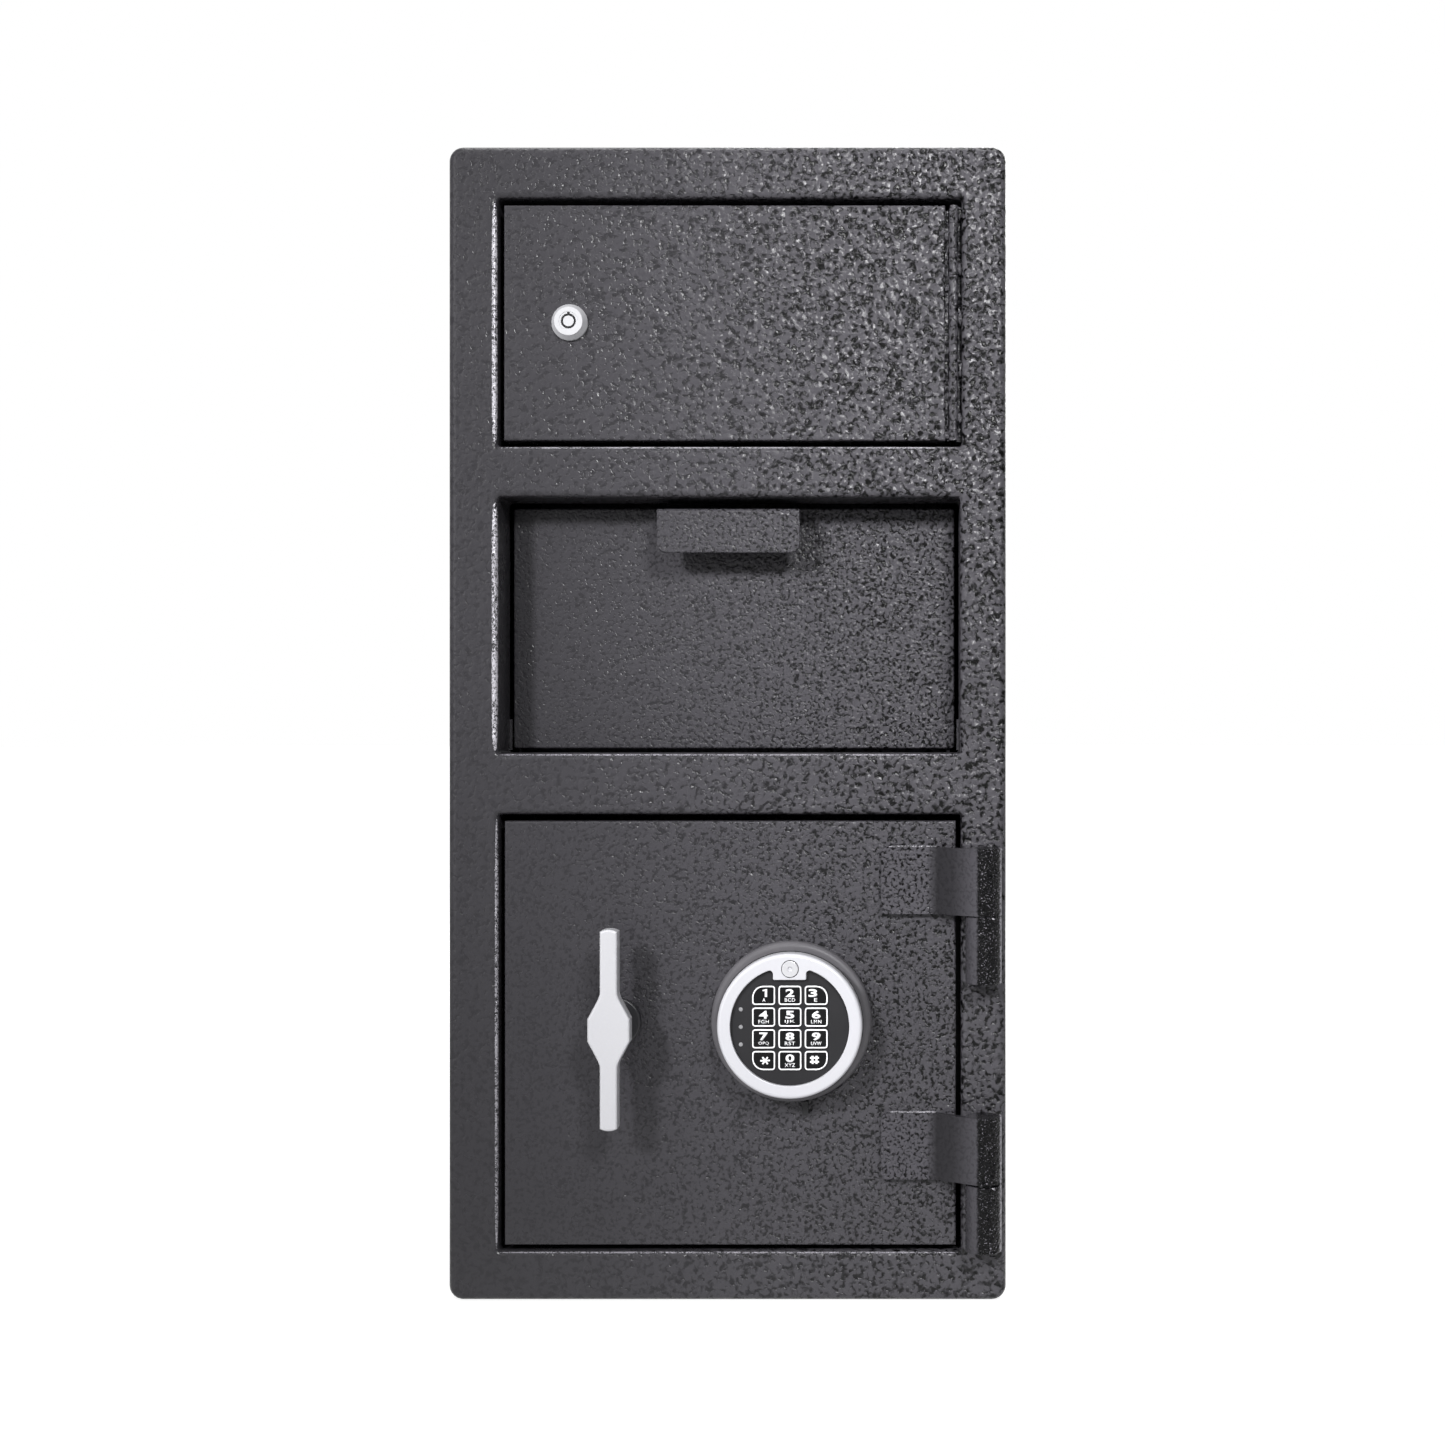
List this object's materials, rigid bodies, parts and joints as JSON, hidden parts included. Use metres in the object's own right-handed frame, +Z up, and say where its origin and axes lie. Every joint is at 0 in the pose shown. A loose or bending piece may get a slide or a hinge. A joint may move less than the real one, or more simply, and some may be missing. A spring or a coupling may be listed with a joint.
{
  "type": "deposit safe",
  "caption": "Tall steel security safe with a keyed locker door, a tilting deposit hopper and a bolted lower door with T-handle and round keypad lock.",
  "frame": {"origin": "centre of the underside of the cabinet, on the floor it stands on", "axes": "+Z up; the front face with the doors looks towards -Y; +X is to the right when looking at the front"},
  "size_m": [0.356, 0.395, 0.737],
  "materials": {
    "hammertone_paint": "textured charcoal powder coat, semi-gloss",
    "inner_cover_paint": "fine charcoal powder coat",
    "chrome_plate": "bright chrome plate",
    "zinc_steel": "bright zinc-plated steel",
    "brass_bush": "turned brass",
    "keypad_base_plastic": "dark grey satin plastic",
    "keypad_ring_silver": "satin silver plated bezel",
    "keypad_face_plastic": "black satin plastic",
    "key_plastic": "black keys with white outlines",
    "lamp_lens": "unlit grey lamp lens"
  },
  "bodies": {
    "cabinet": {"front_frame": "hammertone_paint", "body_wrap": "hammertone_paint", "back_panel": "hammertone_paint", "locker_floor": "hammertone_paint", "chute_floor": "hammertone_paint", "hopper_baffle": "hammertone_paint", "hopper_pivot_lugs": "hammertone_paint", "hopper_pivot_pins": "zinc_steel", "locker_hinge_frame_leaf": "hammertone_paint", "locker_hinge_pin": "zinc_steel", "main_hinge_frame_knuckles": "hammertone_paint", "main_hinge_pins": "zinc_steel"},
    "locker_door": {"locker_door_panel": "hammertone_paint", "locker_hinge_door_leaf": "hammertone_paint", "cam_lock_housing": "chrome_plate", "cam_lock_nut": "zinc_steel"},
    "cam_lock": {"cam_lock_plug": "chrome_plate", "cam_arm": "zinc_steel", "cam_screw": "zinc_steel"},
    "hopper": {"hopper_panel": "hammertone_paint", "hopper_pull": "hammertone_paint", "hopper_cheeks": "hammertone_paint", "hopper_tray": "hammertone_paint"},
    "main_door": {"main_door_plate": "hammertone_paint", "main_hinge_straps": "hammertone_paint", "dead_bar": "zinc_steel", "bolt_guide": "zinc_steel", "boltwork_cover": "inner_cover_paint", "cover_screws": "zinc_steel", "lock_case": "zinc_steel", "lock_case_screws": "zinc_steel", "hard_plate": "zinc_steel", "spindle_bushing": "brass_bush", "keypad_base": "keypad_base_plastic", "keypad_ring": "keypad_ring_silver", "keypad_face": "keypad_face_plastic", "status_leds": "lamp_lens", "ring_screw": "chrome_plate", "battery_tab": "keypad_face_plastic"},
    "bolt_carriage": {"bolt_bar": "zinc_steel", "locking_bolts": "chrome_plate", "bolt_screws": "zinc_steel"},
    "handle": {"tee_handle": "chrome_plate", "handle_spindle": "zinc_steel", "crank_arm": "zinc_steel", "spindle_clip": "zinc_steel"},
    "lock_bolt": {"lock_bolt": "zinc_steel"},
    "key_1": {"key_1": "key_plastic"},
    "key_2": {"key_2": "key_plastic"},
    "key_3": {"key_3": "key_plastic"},
    "key_4": {"key_4": "key_plastic"},
    "key_5": {"key_5": "key_plastic"},
    "key_6": {"key_6": "key_plastic"},
    "key_7": {"key_7": "key_plastic"},
    "key_8": {"key_8": "key_plastic"},
    "key_9": {"key_9": "key_plastic"},
    "key_star": {"key_star": "key_plastic"},
    "key_0": {"key_0": "key_plastic"},
    "key_hash": {"key_hash": "key_plastic"}
  },
  "joints": [
    {"name": "locker_door_swing", "type": "hinge", "parent": "cabinet", "child": "locker_door", "pos_m": [0.1445, -0.176, 0.624], "axis": [0, 0, 1], "range_deg": [0, 115]},
    {"name": "cam_turn", "type": "hinge", "parent": "locker_door", "child": "cam_lock", "pos_m": [-0.1003, -0.1775, 0.624], "axis": [0, 1, 0], "range_deg": [0, 90]},
    {"name": "hopper_tilt", "type": "hinge", "parent": "cabinet", "child": "hopper", "pos_m": [0, -0.136, 0.36], "axis": [1, 0, 0], "range_deg": [0, 45]},
    {"name": "main_door_swing", "type": "hinge", "parent": "cabinet", "child": "main_door", "pos_m": [0.1631, -0.19, 0.17], "axis": [0, 0, 1], "range_deg": [0, 170]},
    {"name": "handle_turn", "type": "hinge", "parent": "main_door", "child": "handle", "pos_m": [-0.07, -0.178, 0.1785], "axis": [0, 1, 0], "range_deg": [0, 90]},
    {"name": "bolt_slide", "type": "slide", "parent": "main_door", "child": "bolt_carriage", "axis": [-1, 0, 0], "range_m": [0, 0.02]},
    {"name": "lock_bolt_slide", "type": "slide", "parent": "main_door", "child": "lock_bolt", "axis": [-1, 0, 0], "range_m": [0, 0.018]},
    {"name": "key_1_press", "type": "slide", "parent": "main_door", "child": "key_1", "axis": [0, 1, 0], "range_m": [0, 0.0008], "stiffness_N_per_m": 900},
    {"name": "key_2_press", "type": "slide", "parent": "main_door", "child": "key_2", "axis": [0, 1, 0], "range_m": [0, 0.0008], "stiffness_N_per_m": 900},
    {"name": "key_3_press", "type": "slide", "parent": "main_door", "child": "key_3", "axis": [0, 1, 0], "range_m": [0, 0.0008], "stiffness_N_per_m": 900},
    {"name": "key_4_press", "type": "slide", "parent": "main_door", "child": "key_4", "axis": [0, 1, 0], "range_m": [0, 0.0008], "stiffness_N_per_m": 900},
    {"name": "key_5_press", "type": "slide", "parent": "main_door", "child": "key_5", "axis": [0, 1, 0], "range_m": [0, 0.0008], "stiffness_N_per_m": 900},
    {"name": "key_6_press", "type": "slide", "parent": "main_door", "child": "key_6", "axis": [0, 1, 0], "range_m": [0, 0.0008], "stiffness_N_per_m": 900},
    {"name": "key_7_press", "type": "slide", "parent": "main_door", "child": "key_7", "axis": [0, 1, 0], "range_m": [0, 0.0008], "stiffness_N_per_m": 900},
    {"name": "key_8_press", "type": "slide", "parent": "main_door", "child": "key_8", "axis": [0, 1, 0], "range_m": [0, 0.0008], "stiffness_N_per_m": 900},
    {"name": "key_9_press", "type": "slide", "parent": "main_door", "child": "key_9", "axis": [0, 1, 0], "range_m": [0, 0.0008], "stiffness_N_per_m": 900},
    {"name": "key_star_press", "type": "slide", "parent": "main_door", "child": "key_star", "axis": [0, 1, 0], "range_m": [0, 0.0008], "stiffness_N_per_m": 900},
    {"name": "key_0_press", "type": "slide", "parent": "main_door", "child": "key_0", "axis": [0, 1, 0], "range_m": [0, 0.0008], "stiffness_N_per_m": 900},
    {"name": "key_hash_press", "type": "slide", "parent": "main_door", "child": "key_hash", "axis": [0, 1, 0], "range_m": [0, 0.0008], "stiffness_N_per_m": 900}
  ],
  "couplings": [
    {"joint": "bolt_slide", "follows": "handle_turn", "m_per_rad": 0.012732},
    {"joint": "lock_bolt_slide", "follows": "handle_turn", "m_per_rad": 0.011459}
  ]
}
